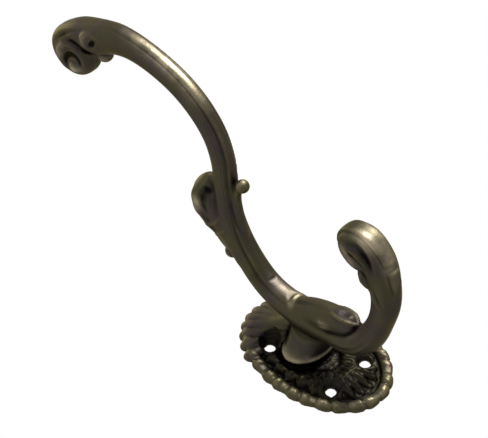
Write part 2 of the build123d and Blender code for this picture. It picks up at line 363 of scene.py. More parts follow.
SIDE_GROOVES = [
    # upper scroll: about the eye, behind the roll, along the strip's edge, and the pit
    [(122.6, 69, 0.3, 1), (123.4, 71.4, 0.7, 1.2), (122.4, 74.4, 0.9, 1.3),
     (119.8, 76.4, 1.1, 1.4), (116.8, 76, 1, 1.4), (115.2, 73.4, 0.5, 1.2)],
    [(121, 82.8, 0.3, 1), (118.4, 83.2, 0.9, 1.5), (115.4, 82.4, 1.3, 1.7),
     (112.9, 81, 1.3, 1.6), (110.8, 79.6, 0.8, 1.2)],
    [(127, 79.6, 0.1, 0.8), (126, 81.5, 0.4, 1), (124, 83.8, 0.7, 1.2), (121.4, 86.2, 0.6, 1.2),
     (118.6, 88.4, 0.3, 1), (116.2, 90, 0.05, 0.8)],
    [(106.6, 90.6, 0.2, 0.8), (107.6, 89.2, 1.1, 1), (108.6, 87.8, 1.1, 1),
     (109.4, 86.4, 0.3, 0.8)],
    # lower scroll: the broad hollow in its side
    [(-15.6, 74.6, 0.6, 3), (-19.4, 76, 1, 3.6), (-23.4, 73.8, 1.1, 3.6), (-26, 70.4, 0.8, 3),
     (-27.2, 67.6, 0.2, 2.4)],
    # the crease under the bud
    [(-27.4, 60.4, 0.1, 0.7), (-28.8, 58.6, 0.35, 0.9), (-30.4, 56.8, 0.4, 0.9),
     (-32, 55.2, 0.2, 0.7)],
    # the side leaf's hollow
    [(50, 43.8, 0.2, 1.6), (52, 46.6, 0.7, 2.4), (52.6, 49.8, 1, 2.6), (51.6, 53, 0.6, 2.2)],
]
# Worked last, on the sides: the comma in the lower scroll's hollow and the bud's two folds, as
# ridges, and the groove behind the comma
COMMA = [
    [(-15.6, 71.8, 0.2, 1), (-18.4, 72.4, 0.8, 1.3), (-21.2, 71.8, 0.9, 1.3),
     (-23.6, 70.4, 0.7, 1.2), (-25.4, 68.8, 0.2, 0.9)],
    [(-25.6, 57.6, 0.2, 0.9), (-24.4, 59, 0.5, 1.2), (-23, 60.8, 0.2, 0.9)],
    [(-23.2, 57.6, 0.2, 0.8), (-21.8, 59.6, 0.5, 1.1), (-20.6, 61.8, 0.2, 0.8)],
]
COMMA_GROOVE = [(-16.6, 70, 0.2, 0.8), (-19, 70.2, 0.7, 1), (-21.4, 69.4, 0.7, 1),
                (-23.2, 68, 0.2, 0.8)]

# Rubbed lines, where hands and coats keep the brass bright, also painting the highlights of the
# strip, the facet, the scroll eye and the lower scroll: height, reach, across, size, share
RUBBED_AND_HIGHLIT = [
    [(56, 88, 0, 2.6, 0.2), (60, 91, 0, 2.6, 0.6), (68, 95.2, 0, 2.8, 1), (77, 98.2, 0, 2.8, 1),
     (86, 99.6, 0, 3, 0.6), (94, 99.4, 0, 2.6, 0.2)],
    [(12.6, 23.8, 0, 3, 0.25), (18, 24.6, 0, 3, 0.3), (22, 25.4, 0, 2.4, 0.1)],
    [(11.2, 24.2, 0, 1.2, 0.3), (10.8, 23.2, 3, 1.4, 0.7)],
    [(-18, 80.2, 3.4, 2.2, 0.3), (-21.6, 79.8, 3.6, 2.6, 1), (-26, 77.2, 1.8, 2.8, 0.6),
     (-30, 73.2, 0, 3, 0.6), (-33, 66, 0, 2.4, 0.2)],
    [(116.4, 70.8, 6.4, 1.6, 0.8), (119, 70.6, 6.4, 1.6, 0.9)],
    [(-14, 72.6, 4.6, 1.4, 0.1), (-14.2, 70.6, 4.6, 1.6, 0.5), (-16.4, 67.8, 4.4, 1.6, 0.5),
     (-19.6, 66, 4.4, 1.4, 0.1)],
    [(126.4, 73, 5.4, 1.4, 0.3), (126.4, 76, 5.4, 1.6, 0.6), (124.6, 79, 5.6, 1.4, 0.4)],
    [(112.6, 87.2, 5.4, 1.2, 0.3), (112, 90, 5.2, 1.2, 0.3), (109.6, 92.2, 4.6, 1.2, 0.1)],
    [(105.6, 79.6, 3.4, 2.2, 0.3), (104.4, 80.6, 2.4, 2.2, 0.3)],
    [(54.6, 43.6, 6, 1.8, 0.3), (55.6, 46.6, 6.2, 1.9, 0.7)],
    [(38.6, 63.4, 0.8, 1.6, 0.5), (38, 63.8, 0.4, 1.4, 0.3)],
    [(-5.6, 25.6, 5, 1.8, 0.7), (-7.4, 26.4, 5, 1.6, 0.3)],
    [(8, 5.6, 9.8, 1.6, 0.3), (3.8, 5.6, 12, 1.8, 0.8), (-0.6, 5.6, 10.4, 1.8, 0.8),
     (-3.2, 5.6, 6.2, 1.6, 0.7), (-4.2, 5.6, 1, 1.4, 0.2)],
]
# Lines of painted shade: the screw pits, under the tongue and the bar, the hollows of the leaf,
# the scrolls and the scoop, and the shaded side of the upper arm
PAINTED_SHADE_LINES = [
    [(15, 2.4, 9.2, 4.6, 1), (15.8, 5.6, 9.6, 4.6, 0.8)],
    [(-15, 2.4, 9.2, 4, 0.9), (-15.4, 2.4, 9.2, 4, 0.9)],
    [(10, 2.6, 11, 2.4, 0.8), (3, 2.6, 12.6, 2.4, 0.9), (-4, 2.6, 9, 2.6, 0.9),
     (-8, 2.6, 3, 3, 0.9)],
    [(-12, 8, 3, 6, 0.9), (-6, 12, 5.4, 3.4, 0.8)],
    [(51.6, 48.6, 4.6, 2, 0.4), (51.6, 51.6, 4, 2.2, 0.6)],
    [(27, 26.4, 4.6, 2, 0.5), (22, 24, 4.6, 1.8, 0.3)],
    [(122.4, 84, 5, 2, 0.2), (120, 83.6, 5.4, 2.2, 0.3), (115.6, 81.4, 5.4, 2.4, 0.5),
     (111.4, 79.2, 5.2, 2.4, 0.4)],
    [(106, 86, 5.2, 3, 0.2), (101, 88.6, 5, 3.6, 0.3), (92, 91.6, 5, 3.6, 0.35),
     (80, 91.4, 4.8, 3.6, 0.35), (68, 88.4, 4.8, 3.4, 0.2), (60, 84, 4.8, 3, 0.05)],
    [(-16, 74, 6, 3, 0.3), (-21, 74.4, 6, 3.4, 0.45), (-26, 70, 5.8, 3.2, 0.4),
     (-29, 66, 5.4, 2.6, 0.1)],
    [(-10, 33, 0, 2.6, 0.3), (-14, 34, 0, 2.8, 0.45), (-16.4, 35, 0, 2.4, 0.4)],
]
# Touches along a line of rubbed brass and painted highlight, or of painted shade, for each of its
# points
TOUCHES_PER_POINT = 6

# Wear on edges, and painted shade in recesses, read from the form itself. The distances are
# averaged over a cube of so many cells to each side; each pair is the rise in millimetres at which
# a mask starts and is full.
NEAR_CELLS = 2
WIDE_CELLS = 6
WORN_NEAR = (0.06, 0.32)
HOLLOW_NEAR = (-0.01, -0.17)
SUNK_WIDE = (0.02, -0.48)
HOLLOW_NEAR_SHARE = 0.5
SUNK_SHARE = 0.8

# The plate's field is darkened all over, and the crowns of its rim are rubbed, less so near its
# top. Pairs of reach tell where each fades in.
PLATE_TOP = (6.0, 5.0)
FIELD_TOP = 4.6
FIELD_FADE = 0.8
FIELD_DARKENING = 0.66
RIM_CROWN = (2.2, 3.4)
RIM_CROWN_INSET = 1.9
RIM_CROWN_WIDTH = 1.5
RIM_RUBBING = 0.3
RIM_RUBBING_BY_HEIGHT = [(-18.0, 1.0), (8.0, 0.2)]
# The plate's back and the rim just off the wall have no wear, painted shade or painted highlight.
PLAIN_BACK = (0.4, 1.2)

# Finish of the brass. Each noise has its size in millimetres and its detail: blotches where the
# patina is thinner, the cast skin's sand grain, and patches of olive and of brown.
BLOTCHES = (5.0, 4.0)
SAND_GRAIN = (0.625, 3.0)
PATCHES = (12.5, 3.0)
# How much of a noise's range goes from none to full
BLOTCH_RANGE = (0.35, 0.65)
PATCH_RANGE = (0.4, 0.6)
LEAST_THINNING = 0.35
SAND_RELIEF = 0.12
SAND_STRENGTH = 0.5
METALLIC = 0.95
PATINA_ROUGHNESS = 0.46
RUBBED_ROUGHNESS = 0.32
# Sockets of Blender's mix node when it mixes colours
MIX_SHARE, MIX_UNDER, MIX_OVER, MIX_COLOUR = 0, 6, 7, 2

# Camera: where the photograph was taken from, found from the hook's own geometry
CAMERA_ELEVATION = 45.3
CAMERA_TURN = 44.0
CAMERA_DISTANCE = 800.0
CAMERA_SHIFT = (26.66, -50.46)
PHOTO_WIDTH = 488
PIXELS_PER_MM = 2.75
SENSOR_WIDTH = 36.0

# Stage, in metres
FARTHEST_SEEN = 20.0
FLOOR_HALF = 4.0
# Lamps: how far each hangs to the right, up and towards the camera, and its size
KEY_LAMP = ((0.2, 0.7, 0.22), 0.35)
FILL_LAMP = ((-0.5, 0.3, -0.5), 0.4)
# Surroundings: what lights the hook, and what the camera sees
SOFT_STRENGTH = 0.6
WHITE_STRENGTH = 1.0


def linear(code):
    """An sRGB hex colour as linear red, green, blue and alpha."""
    parts = [int(code[i:i + 2], 16) / 255 for i in (1, 3, 5)]
    return [p / 12.92 if p <= 0.04045 else ((p + 0.055) / 1.055) ** 2.4 for p in parts] + [1.0]


def in_mm(size):
    """A length setting in millimetres, without its single-precision rounding."""
    return round(size / MM, 3)


def ramp(value, start, end):
    """0 on the start's side, 1 past the end and even between; the end may be the lower one."""
    return np.clip((value - start) / (end - start), 0, 1)


def bell(value, centre, width):
    """A smooth bump of height 1 about the centre."""
    return np.exp(-((value - centre) / width) ** 2)


def along(table, s):
    """A value that changes along a limb, read from pairs of place and value."""
    places, values = zip(*table)
    return np.interp(s, places, values)


def through(stations, count):
    """A smooth curve through the stations, which are rows of any width, as that many rows."""
    rows = np.array(stations, float)
    ends = np.vstack([2 * rows[0] - rows[1], rows, 2 * rows[-1] - rows[-2]])
    spans = np.linspace(0, len(rows) - 1, count)
    i = np.minimum(spans.astype(int), len(rows) - 2)
    t = (spans - i)[:, None]
    a, b, c, d = ends[i], ends[i + 1], ends[i + 2], ends[i + 3]
    bend = (2 * a - 5 * b + 4 * c - d) * t ** 2 + (3 * b - a - 3 * c + d) * t ** 3
    return 0.5 * (2 * b + (c - a) * t + bend)


def join(a, b, blend):
    """Smooth union of two distance fields, with a fillet of about the blend's size."""
    h = np.clip(0.5 + 0.5 * (b - a) / blend, 0.0, 1.0)
    return b + (a - b) * h - blend * h * (1.0 - h)


def carve(a, b, blend):
    """The first distance field less the second, with a softened edge."""
    return -join(-a, b, blend)


class Casting:
    """A block of distance values for one half of the hook, into which its forms are worked."""

    LOW = (0.0, -2.0, -38.0)
    HIGH = (24.5, 103.0, 136.0)
    EMPTY = 6.0
    MARGIN = 3.0
    THINNEST = 0.05
    SAMPLES_PER_POINT = 5

    def __init__(self, pitch):
        self.pitch = pitch
        self.axes = [np.arange(a, b, pitch, dtype=np.float32) for a, b in zip(self.LOW, self.HIGH)]
        self.field = np.full([len(a) for a in self.axes], self.EMPTY, np.float32)

    def block(self, low, high):
        """The part of the grid between two corners, and its three coordinates."""
        cut, coords = [], []
        for n, axis in enumerate(self.axes):
            i = max(0, int(np.searchsorted(axis, low[n])))
            j = min(len(axis), int(np.searchsorted(axis, high[n])) + 1)
            cut.append(slice(i, max(j, i + 1)))
            shape = [1, 1, 1]
            shape[n] = -1
            coords.append(axis[cut[-1]].reshape(shape))
        return tuple(cut), coords

    def add(self, low, high, form, blend):
        """Joins a form to the casting, between two corners."""
        cut, coords = self.block(low, high)
        self.field[cut] = join(self.field[cut], form(*coords), blend)

    def cut(self, low, high, form, blend):
        """Takes a form out of the casting, between two corners."""
        cut, coords = self.block(low, high)
        self.field[cut] = carve(self.field[cut], form(*coords), blend)

    def side_at(self, heights, reaches):
        """How far out the casting's side stands at each height and reach."""
        _, w, z = self.axes
        i = np.clip(np.rint((reaches - w[0]) / self.pitch).astype(int), 0, len(w) - 1)
        k = np.clip(np.rint((heights - z[0]) / self.pitch).astype(int), 0, len(z) - 1)
        columns = self.field[:, i, k]
        inside = columns < 0
        last = len(columns) - 2 - np.argmax(inside[-2::-1], axis=0)
        n = np.arange(len(i))
        near, far = columns[last, n], columns[last + 1, n]
        place = self.axes[0][last] + self.pitch * near / (near - far)
        place = np.where(inside.any(axis=0), place, 0.0)
        padded = np.concatenate([place[:1], place, place[-1:]])
        return (padded[:-2] + 2 * padded[1:-1] + padded[2:]) / 4

    def thread(self, points, blend=WORKED_BLEND, carved=False, on_side=False):
        """Adds or carves a round line through points of height, reach, across and radius.

        On the side, each point tells how deep it bites or how high it stands instead of across."""
        rows = through(points, self.SAMPLES_PER_POINT * len(points))
        if on_side:
            outward = 1 if carved else -1
            side = self.side_at(rows[:, 0], rows[:, 1])
            rows[:, 2] = side + outward * (rows[:, 3] - rows[:, 2])
        spots, radii = rows[:, [2, 1, 0]], np.maximum(rows[:, 3], self.THINNEST)
        margin = radii.max() + self.MARGIN
        cut, (x, w, z) = self.block(spots.min(0) - margin, spots.max(0) + margin)
        nearest = None
        for start, end, near, far in zip(spots, spots[1:], radii, radii[1:]):
            gap = bar_distance(x, w, z, start, end, near, far)
            nearest = gap if nearest is None else np.minimum(nearest, gap)
        work = carve if carved else join
        self.field[cut] = work(self.field[cut], nearest, blend)


def bar_distance(x, w, z, start, end, near, far):
    """How far each place is from a round bar whose radius runs from near to far."""
    way = end - start
    ahead = (x - start[0]) * way[0] + (w - start[1]) * way[1] + (z - start[2]) * way[2]
    t = np.clip(ahead / float(way @ way), 0, 1)
    gap = np.sqrt(
        (x - start[0] - t * way[0]) ** 2
        + (w - start[1] - t * way[1]) ** 2
        + (z - start[2] - t * way[2]) ** 2
    )
    return (gap - near - (far - near) * t).astype(np.float32)


class Limb:
    """Each place of the plane of symmetry told by a curve in it: how far along, how far off."""

    SAMPLES = 420
    PLACES_AT_ONCE = 20000

    def __init__(self, stations, reach_w, reach_z):
        rows = through(stations, self.SAMPLES)
        step = np.gradient(rows[:, :2], axis=0)
        tangent = step / np.linalg.norm(step, axis=1)[:, None]
        gaps = np.linalg.norm(np.diff(rows[:, :2], axis=0), axis=1)
        places = np.concatenate([[0.0], np.cumsum(gaps)])
        w, z = np.meshgrid(reach_w.ravel(), reach_z.ravel(), indexing="ij")
        points = np.stack([z.ravel(), w.ravel()], 1)
        near = np.empty(len(points), int)
        for k in range(0, len(points), self.PLACES_AT_ONCE):
            part = points[k:k + self.PLACES_AT_ONCE]
            square = ((part[:, None, :] - rows[None, :, :2]) ** 2).sum(2)
            near[k:k + self.PLACES_AT_ONCE] = square.argmin(1)
        off = points - rows[near, :2]
        t = tangent[near]
        ahead = (off * t).sum(1)
        inside = (near > 0) & (near < self.SAMPLES - 1)
        self.s = np.clip(places[near] + ahead, 0, places[-1]).reshape(w.shape)
        self.v = (off[:, 1] * t[:, 0] - off[:, 0] * t[:, 1]).reshape(w.shape)
        past = np.maximum(np.where(near == 0, -ahead, ahead), 0.0)
        self.past = np.where(inside, 0.0, past).reshape(w.shape)
        self.half_width = np.interp(self.s, places, rows[:, 2])
        self.half_depth = np.interp(self.s, places, rows[:, 3])


def work_limb(casting, stations, relief=None, squareness=OVAL_SECTION, blend=LIMB_BLEND):
    """Adds a limb of oval or squarer section, with relief by angle off its outer side."""
    rows = np.array(stations, float)
    low = (0.0, rows[:, 1].min() - LIMB_MARGIN, rows[:, 0].min() - LIMB_MARGIN)
    high = (LIMB_SPACE, rows[:, 1].max() + LIMB_MARGIN, rows[:, 0].max() + LIMB_MARGIN)
    cut, (x, w, z) = casting.block(low, high)
    limb = Limb(stations, w, z)
    power = along(squareness, limb.s)
    off = np.sqrt(limb.v ** 2 + limb.past ** 2) / limb.half_depth
    ring = ((np.abs(x) / limb.half_width + 1e-6) ** power + off ** power) ** (1 / power)
    form = (ring - 1.0) * np.minimum(limb.half_width, limb.half_depth)
    if relief:
        angle = np.degrees(np.arctan2(x / limb.half_width, limb.v / limb.half_depth))
        form = form - relief(angle, limb.s) * np.clip(ring, 0, 1)
    casting.field[cut] = join(casting.field[cut], form.astype(np.float32), blend)


def strip_and_flutes(angle, s, edge, rise, groove, flutes):
    """A raised strip with a groove beside it, and flutes that fade in and out along the limb."""
    edge = along(edge, s)
    relief = along(rise, s) * ramp(angle, edge + STRIP_SOFTNESS / 2, edge - STRIP_SOFTNESS / 2)
    relief = relief - along(groove, s) * bell(angle, edge + GROOVE_OFFSET, GROOVE_WIDTH)
    for centre, width, depth, fades in flutes:
        shown = np.interp(s, fades, (0, 1, 1, 0))
        lip = FLUTE_LIP_RISE * bell(angle, centre + FLUTE_LIP_OFFSET * width, width)
        relief = relief + shown * depth * (lip - bell(angle, centre, width))
    return relief


def arm_relief(angle, s):
    """The strip and flutes of the upper arm."""
    return strip_and_flutes(angle, s, STRIP_EDGE, STRIP_RISE, STRIP_GROOVE, ARM_FLUTES)


def hook_relief(angle, s):
    """The strip and flutes of the lower hook."""
    tables = HOOK_STRIP_EDGE, HOOK_STRIP_RISE, HOOK_STRIP_GROOVE, HOOK_FLUTES
    return strip_and_flutes(angle, s, *tables)


def globe(height, reach, across, radius):
    """A ball, after the corners of the block it needs."""

    def form(x, w, z):
        return np.sqrt((x - across) ** 2 + (w - reach) ** 2 + (z - height) ** 2) - radius

    spot = np.array((across, reach, height))
    margin = radius + Casting.MARGIN
    return spot - margin, spot + margin, form


def softened(field, half):
    """The field averaged over a cube of cells, half of them to each side."""
    span = 2 * half + 1
    for axis in range(field.ndim):
        pad = [(0, 0)] * field.ndim
        pad[axis] = (half + 1, half)
        wide = np.pad(field, pad, mode="reflect" if axis == 0 else "edge")
        total = np.moveaxis(np.cumsum(wide, axis=axis, dtype=np.float64), axis, 0)
        field = np.moveaxis((total[span:] - total[:-span]) / span, 0, axis).astype(np.float32)
    return field


def cast_grain(shape, size, seed):
    """Even random lumps about twice as many cells wide as the size, with a spread of 1."""
    grain = softened(np.random.default_rng(seed).normal(size=shape).astype(np.float32), size)
    return grain / grain.std()


def oval_distance(x, z, half_w, half_h):
    """How far each place is outside an oval about the plate's middle, and its share of the oval."""
    ring = np.sqrt((x / half_w) ** 2 + (z / half_h) ** 2) + 1e-6
    slope = np.sqrt((x / half_w ** 2) ** 2 + (z / half_h ** 2) ** 2) + 1e-6
    return (ring - 1.0) * ring / slope, ring


def plate_turn(x, z):
    """The angle of each place about the plate's middle, from the top of the crest."""
    return np.arctan2(x / PLATE_HALF_WIDTH, z / PLATE_HALF_HEIGHT)


def rim_share(x, z):
    """The share of the way round the plate's edge, from the middle of the crest."""
    turns = np.linspace(0, 2 * math.pi, OUTLINE_SAMPLES)
    outline = np.stack([PLATE_HALF_WIDTH * np.sin(turns), PLATE_HALF_HEIGHT * np.cos(turns)], 1)
    way = np.concatenate([[0.0], np.cumsum(np.linalg.norm(np.diff(outline, axis=0), axis=1))])
    return np.interp(plate_turn(x, z), turns, way / way[-1])


def foliage(x, z, ring, height):
    """How high the veined leaves that fan out from under the tongue stand over the field."""
    mean_half = (PLATE_HALF_WIDTH + PLATE_HALF_HEIGHT) / 2
    place = plate_turn(x, z) / math.pi * FOLIAGE_COUNT
    off = (place - np.floor(place) - 0.5) / FOLIAGE_COUNT * math.pi * ring * mean_half
    share = ramp(ring, FOLIAGE_START, FOLIAGE_END)
    fullness = np.maximum(np.sin(math.pi * share ** LEAF_FULLEST), 0.0) ** LEAF_TAPER
    half = LEAF_ENDS_HALF + LEAF_SWELL * fullness
    leaf = np.clip(1 - (off / half) ** 2, 0, 1) ** LEAF_ARCH
    leaf = leaf * np.maximum(np.sin(math.pi * share), 0) ** LEAF_LIFT
    run = np.abs(off) + VEIN_SLANT * ring * mean_half
    vein = VEIN_DEPTH * np.cos(2 * math.pi * run / VEIN_SPACING)
    widest = max(TONGUE_LEVELS, key=lambda level: level[1])
    clear, _ = oval_distance(x, z - TONGUE_HEIGHT, *widest[1:])
    leaf = leaf * ramp(clear, 0, TONGUE_CLEARANCE)
    return leaf * (height + vein + MIDRIB_RISE * bell(off, 0, MIDRIB_WIDTH))


def lobed_rim(x, z, edge, count):
    """The height of the rim, and its lobes from 0 in a notch to 1 on a crown."""
    way = rim_share(x, z)
    in_crest = np.minimum(way, 1 - way) < CREST_SHARE / 2
    phase = (way - CREST_SHARE / 2) / (1 - CREST_SHARE) * count
    # The second sine moves the notches unevenly, so that no two lobes are quite alike.
    wander = np.sin(LOBE_WANDER * phase) ** 2
    phase = phase + LOBE_UNEVENNESS * np.sin(math.pi * phase) * wander
    crest_phase = way / (CREST_SHARE / 2) * CREST_COUNT / 2 + 0.5
    lobe = np.abs(np.sin(math.pi * np.where(in_crest, crest_phase, phase))) ** LOBE_BLUNTNESS
    crown = np.sqrt(np.clip(1 - ((edge + RIM_WIDTH / 2) / (RIM_WIDTH / 2)) ** 2, 0, 1))
    height = RIM_BASE + RIM_RISE * crown * (1 - LOBE_NOTCH + LOBE_NOTCH * lobe)
    vein = RIM_VEIN * np.cos(2 * RIM_VEINS_PER_LOBE * math.pi * phase) * crown
    return height + vein, lobe


def plate_front(x, z, settings):
    """The height of the plate's front, and the scalloped edge's distance."""
    edge, ring = oval_distance(x, z, PLATE_HALF_WIDTH, PLATE_HALF_HEIGHT)
    front = FIELD_THICKNESS + foliage(x, z, ring, in_mm(settings.foliage_height))
    front = front - CHANNEL_DEPTH * bell(edge, -CHANNEL_INSET, CHANNEL_WIDTH)
    rim, lobe = lobed_rim(x, z, edge, settings.lobe_count)
    front = np.maximum(front, np.where(edge > -RIM_WIDTH, rim, LEAST_THICKNESS))
    return front, edge + LOBE_SCALLOP * (1 - lobe)


def screw_pit(across, height, radius):
    """A screw hole with the pit about it, after the corners of the block it needs."""

    def form(x, w, z):
        ring = np.sqrt((x - across) ** 2 + (z - height) ** 2)
        slope = (PIT_RADIUS - radius) / (PIT_DEPTH - SCREW_LAND)
        return ring - np.clip(radius + (w - SCREW_LAND) * slope, radius, PIT_RADIUS)

    low = (across - PIT_SPACE, Casting.LOW[1], height - PIT_SPACE)
    return low, (across + PIT_SPACE, PIT_TOP, height + PIT_SPACE), form


def work_plate(casting, settings):
    """The lobed oval plate with its foliage, fluted crest and screw holes."""
    cut, (x, w, z) = casting.block(*PLATE_BLOCK)
    front, edge = plate_front(x, z, settings)
    shape = (x.shape[0], z.shape[2])
    grain = sum(rise * cast_grain(shape, size, seed) for rise, size, seed in CAST_GRAIN)
    front = front + grain[:, None, :] * np.where(edge > -RIM_WIDTH, RIM_GRAIN_SHARE, 1.0)
    front = np.maximum(front, LEAST_THICKNESS)
    side = edge + SIDE_ROUNDING * (w - SIDE_MIDDLE) ** 2
    slab = np.maximum(side, (w - front) * FRONT_EASING)
    casting.field[cut] = join(casting.field[cut], slab.astype(np.float32), PLATE_BLEND)
    for k, reach_share in enumerate(CREST_REACH):
        angle = math.radians(k / (CREST_COUNT - 1) * CREST_SPREAD)
        tip = (PLATE_HALF_WIDTH * math.sin(angle), PLATE_HALF_HEIGHT * math.cos(angle))
        root = (k * CREST_ROOT_SPACING, CREST_ROOT_HEIGHT)
        rows = []
        for way, reach, radius in CREST_FLUTE:
            across, height = (r + (t - r) * way for r, t in zip(root, tip))
            rows.append((height, reach * reach_share, across, radius))
        casting.thread(rows, CREST_BLEND)
    for side in (-1, 1):
        spot = (SCREW_SPACING_X / 2, side * SCREW_SPACING_Z / 2)
        casting.cut(*screw_pit(*spot, in_mm(settings.screw_hole_radius)), PIT_BLEND)


def work_tongue(casting):
    """The smooth oval collar with its overhanging lip."""
    reaches, widths, heights = zip(*TONGUE_LEVELS)

    def form(x, w, z):
        half_w = np.interp(w, reaches, widths)
        half_h = np.interp(w, reaches, heights)
        ring = np.sqrt((x / half_w) ** 2 + ((z - TONGUE_HEIGHT) / half_h) ** 2)
        side = (ring - 1.0) * np.minimum(half_w, half_h)
        return np.maximum(side, w - reaches[-1])

    casting.add(*TONGUE_BLOCK, form, TONGUE_BLEND)


def work_scroll(casting, scroll):
    """A rolled end: a disc with well rounded edges."""
    (height, reach), radius, half_width, rounding = scroll

    def form(x, w, z):
        ring = np.sqrt((w - reach) ** 2 + (z - height) ** 2)
        out = ring - radius + rounding
        side = np.abs(x) - half_width + rounding
        disc = np.sqrt(np.maximum(out, 0) ** 2 + np.maximum(side, 0) ** 2) - rounding
        return disc + np.minimum(np.maximum(out, side), 0)

    space = radius + SCROLL_MARGIN
    low = (0, reach - space, height - space)
    casting.add(low, (LIMB_SPACE, reach + space, height + space), form, SCROLL_BLEND)


def work_facet(casting):
    """Files the strip flat just above the root leaf."""
    (foot, foot_reach), (top, top_reach) = FACET

    def form(x, w, z):
        level = foot_reach + (z - foot) * (top_reach - foot_reach) / (top - foot)
        ends = np.abs(z - (foot + top) / 2) - (top - foot) / 2
        return np.maximum(np.maximum(level - w, ends), x - FACET_HALF_WIDTH)

    space = Casting.MARGIN
    low = (0, foot_reach - space, foot - space)
    casting.cut(low, (2 * space, top_reach + 2 * space, top + space), form, FACET_BLEND)


def work_details(casting):
    """The rims, creases, grooves and pits that finish the leaves and the rolled ends."""
    work_facet(casting)
    casting.add(*globe(*SCROLL_EYE), EYE_BLEND)
    for points in RIDGES:
        casting.thread(points)
    for points in GROOVES:
        casting.thread(points, carved=True)
    for points in SIDE_RIDGES:
        casting.thread(points, on_side=True)
    for points in SIDE_GROOVES:
        casting.thread(points, carved=True, on_side=True)
    for points in COMMA:
        casting.thread(points, FINE_BLEND, on_side=True)
    casting.thread(COMMA_GROOVE, FINE_BLEND, carved=True, on_side=True)


def sampled(block, spots):
    """The block's values at places given in cells, read between the eight nearest."""
    low = np.clip(np.floor(spots).astype(int), 0, np.array(block.shape) - 2)
    share = spots - low
    total = np.zeros(len(spots))
    for corner in np.ndindex(2, 2, 2):
        weight = np.where(corner, share, 1 - share).prod(axis=1)
        total += weight * block[tuple((low + corner).T)]
    return total


def touched(spots, lines):
    """How much each point lies along one of the lines, which fade out over their size."""
    total = np.zeros(len(spots))
    for line in lines:
        for height, reach, across, size, share in through(line, TOUCHES_PER_POINT * len(line)):
            gap = ((spots - (across, reach, height)) ** 2).sum(1)
            total = np.maximum(total, share * np.exp(-gap / size ** 2))
    return total


def finish_masks(casting, cells, spots):
    """How worn, how deep in painted shade over the dark patina of the recesses, and how rubbed or
    lit by a painted highlight the surface is at each point, from 0 to 1.
    """
    # Averaged over a few cells, the distances rise over an edge and fall in a recess.
    near = sampled(softened(casting.field, NEAR_CELLS) - casting.field, cells)
    wide = sampled(softened(casting.field, WIDE_CELLS) - casting.field, cells)
    sunk = ramp(wide, *SUNK_WIDE)
    worn = ramp(near, *WORN_NEAR) * (1 - sunk)
    # Painted shade: recesses and broad hollows are darkened as if the light did not reach them,
    # over the dark patina that lies there
    shade_and_patina = ramp(near, *HOLLOW_NEAR) * HOLLOW_NEAR_SHARE + sunk * SUNK_SHARE
    # Painted shade along the listed lines: the pits, under the tongue and the bar, and the upper
    # arm's shaded side
    shade_and_patina = np.maximum(shade_and_patina, touched(spots, PAINTED_SHADE_LINES))
    x, w, z = spots.T
    edge, _ = oval_distance(x, z, PLATE_HALF_WIDTH, PLATE_HALF_HEIGHT)
    plate = ramp(w, *PLATE_TOP)
    field = plate * ramp(-edge, RIM_WIDTH, RIM_WIDTH + FIELD_FADE) * (w < FIELD_TOP)
    shade_and_patina = np.maximum(shade_and_patina, FIELD_DARKENING * field)
    worn = worn * (1 - FIELD_DARKENING * field)
    rim = plate * ramp(w, *RIM_CROWN) * bell(edge, -RIM_CROWN_INSET, RIM_CROWN_WIDTH)
    rim = RIM_RUBBING * rim * along(RIM_RUBBING_BY_HEIGHT, z)
    # Rubbed brass, with painted highlights where the light glints, and the rubbed crowns of the rim
    rubbed_and_highlit = np.maximum(touched(spots, RUBBED_AND_HIGHLIT), rim)
    off_wall = ramp(w, *PLAIN_BACK)
    return worn * off_wall, np.clip(shade_and_patina, 0, 1) * off_wall, rubbed_and_highlit * off_wall


def true_holes(spots, radius):
    """Draws the walls of the screw holes, which the sculpting leaves ragged, out to true rounds."""
    for x_side, z_side in ((1, 1), (1, -1), (-1, 1), (-1, -1)):
        centre = np.array([x_side * SCREW_SPACING_X / 2, z_side * SCREW_SPACING_Z / 2])
        off = spots[:, [0, 2]] - centre
        ring = np.linalg.norm(off, axis=1)
        wall = (np.abs(ring - radius) < HOLE_TRUING) & (spots[:, 1] < SCREW_LAND + HOLE_TRUING)
        spots[np.ix_(wall, [0, 2])] = centre + off[wall] * (radius / ring[wall])[:, None]


def whole_block(casting):
    """The casting's distances mirrored to both sides, with the back cut flat on the wall."""
    half = casting.field
    whole = np.concatenate([half[:0:-1], half], 0)
    behind = casting.axes[1] < 0
    whole[:, behind, :] = np.maximum(whole[:, behind, :], 1.0)
    first = int(np.flatnonzero(~behind)[0])
    whole[:, first, :] = np.maximum(whole[:, first, :], -casting.axes[1][first])
    return np.ascontiguousarray(whole)


def mesh_from(casting, name, hole_radius):
    """The casting's surface as a Blender mesh in metres, with its finish masks as attributes."""
    grid = openvdb.FloatGrid()
    grid.copyFromArray(whole_block(casting))
    points, quads = grid.convertToQuads(0.0)
    cells = np.asarray(points, float)
    cells[:, 0] -= len(casting.field) - 1
    origin = np.array([axis[0] for axis in casting.axes])
    spots = cells * casting.pitch + origin
    spots[:, 1] = np.maximum(spots[:, 1], 0.0)
    true_holes(spots, hole_radius)
    mesh = bpy.data.meshes.new(name)
    places = spots * (1, -1, 1) * MM
    mesh.from_pydata(places.tolist(), [], np.asarray(quads)[:, ::-1].tolist())
    cells[:, 0] = np.abs(cells[:, 0])
    spots[:, 0] = np.abs(spots[:, 0])
    for mask, values in zip(MASKS, finish_masks(casting, cells, spots)):
        layer = mesh.attributes.new(mask, "FLOAT", "POINT")
        layer.data.foreach_set("value", values.astype(np.float32))
    mesh.polygons.foreach_set("use_smooth", [True] * len(mesh.polygons))
    mesh.validate()
    mesh.update()
    return mesh


def length_setting(name, description, default, low, high):
    """A length that a user may change, given in millimetres and kept in metres."""
    return FloatProperty(
        name=name,
        description=description,
        default=default * MM,
        min=low * MM,
        max=high * MM,
        precision=5,
        unit="LENGTH",
    )


